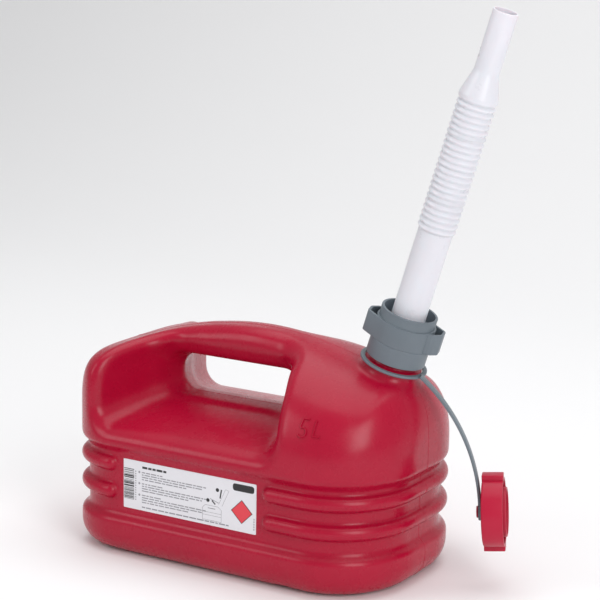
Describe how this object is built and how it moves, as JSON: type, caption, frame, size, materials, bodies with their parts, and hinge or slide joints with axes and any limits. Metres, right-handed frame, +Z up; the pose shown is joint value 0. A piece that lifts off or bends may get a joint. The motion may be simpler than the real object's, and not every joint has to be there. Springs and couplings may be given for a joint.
{
  "type": "jerry can",
  "caption": "Small plastic fuel can with a moulded-in handle, ribbed sides, a screw-on flexible pouring spout and a cap on a strap.",
  "frame": {"origin": "centre of the tank's flat base, on the plane where the two mould halves meet", "axes": "+X along the tank towards the spout, +Y across it, +Z up"},
  "size_m": [0.3443, 0.17, 0.4328],
  "materials": {
    "tank_red": "semi-gloss moulded polyethylene",
    "cap_red": "satin moulded polyethylene",
    "collar_grey": "satin moulded polypropylene",
    "spout_milk": "milky translucent polyethylene",
    "label_film": "printed film sticker",
    "seal_black": "matt fuel-resistant rubber"
  },
  "bodies": {
    "tank": {"tank": "tank_red", "neck": "tank_red", "label": "label_film"},
    "gasket": {"spout_gasket": "seal_black"},
    "spout": {"spout_base": "spout_milk", "bellows_1": "spout_milk"},
    "fold_low": {"bellows_2": "spout_milk"},
    "fold_mid": {"bellows_3": "spout_milk"},
    "fold_high": {"bellows_4": "spout_milk"},
    "nozzle": {"bellows_5": "spout_milk", "spout_nozzle": "spout_milk"},
    "collar": {"collar": "collar_grey"},
    "strap": {"strap_ring": "collar_grey"},
    "strap_mid": {"strap_middle": "collar_grey"},
    "strap_end": {"strap_eye": "collar_grey"},
    "cap": {"cap_shell": "cap_red", "cap_insert": "cap_red", "cap_seal": "seal_black"}
  },
  "joints": [
    {"name": "collar_turn", "type": "hinge", "parent": "gasket", "child": "collar", "pos_m": [0.11545, 0, 0.18813], "axis": [0.2924, 0, 0.9563], "range_deg": [0, 1080]},
    {"name": "spout_lift", "type": "slide", "parent": "tank", "child": "gasket", "axis": [0.2924, 0, 0.9563], "range_m": [0, 0.018]},
    {"name": "spout_turn", "type": "hinge", "parent": "gasket", "child": "spout", "pos_m": [0.11749, 0, 0.19482], "axis": [0.2924, 0, 0.9563], "continuous": true},
    {"name": "bellows_bend_1", "type": "hinge", "parent": "spout", "child": "fold_low", "pos_m": [0.14395, 0, 0.28137], "axis": [0, 1, 0], "range_deg": [-15, 15], "stiffness_Nm_per_rad": 1, "deforming": ["bellows_1", "bellows_2"]},
    {"name": "bellows_bend_2", "type": "hinge", "parent": "fold_low", "child": "fold_mid", "pos_m": [0.15126, 0, 0.30527], "axis": [0, 1, 0], "range_deg": [-15, 15], "stiffness_Nm_per_rad": 1, "deforming": ["bellows_3"]},
    {"name": "bellows_bend_3", "type": "hinge", "parent": "fold_mid", "child": "fold_high", "pos_m": [0.15857, 0, 0.32918], "axis": [0, 1, 0], "range_deg": [-15, 15], "stiffness_Nm_per_rad": 1, "deforming": ["bellows_4"]},
    {"name": "bellows_bend_4", "type": "hinge", "parent": "fold_high", "child": "nozzle", "pos_m": [0.16588, 0, 0.35309], "axis": [0, 1, 0], "range_deg": [-15, 15], "stiffness_Nm_per_rad": 1, "deforming": ["bellows_5"]},
    {"name": "strap_turn", "type": "hinge", "parent": "tank", "child": "strap", "pos_m": [0.10861, 0, 0.16575], "axis": [0.2924, 0, 0.9563], "range_deg": [-20, 20]},
    {"name": "strap_bend_1", "type": "hinge", "parent": "strap", "child": "strap_mid", "pos_m": [0.15142, 0.00384, 0.13831], "axis": [-0.3746, 0.9272, 0], "range_deg": [-45, 6], "stiffness_Nm_per_rad": 0.15, "springref_deg": -2.86, "deforming": ["strap_middle"]},
    {"name": "strap_bend_2", "type": "hinge", "parent": "strap_mid", "child": "strap_end", "pos_m": [0.17288, 0.01251, 0.09043], "axis": [-0.3746, 0.9272, 0], "range_deg": [-45, 6], "stiffness_Nm_per_rad": 0.15, "springref_deg": -1.15},
    {"name": "cap_turn", "type": "hinge", "parent": "strap_end", "child": "cap", "pos_m": [0.17736, 0.01432, 0.05789], "axis": [0.9249, 0.3737, 0.0698], "continuous": true}
  ],
  "couplings": [
    {"joint": "collar_turn", "follows": "spout_lift", "rad_per_m": 1047.2},
    {"joint": "bellows_bend_2", "follows": "bellows_bend_1", "ratio": 1},
    {"joint": "bellows_bend_3", "follows": "bellows_bend_1", "ratio": 1},
    {"joint": "bellows_bend_4", "follows": "bellows_bend_1", "ratio": 1}
  ]
}
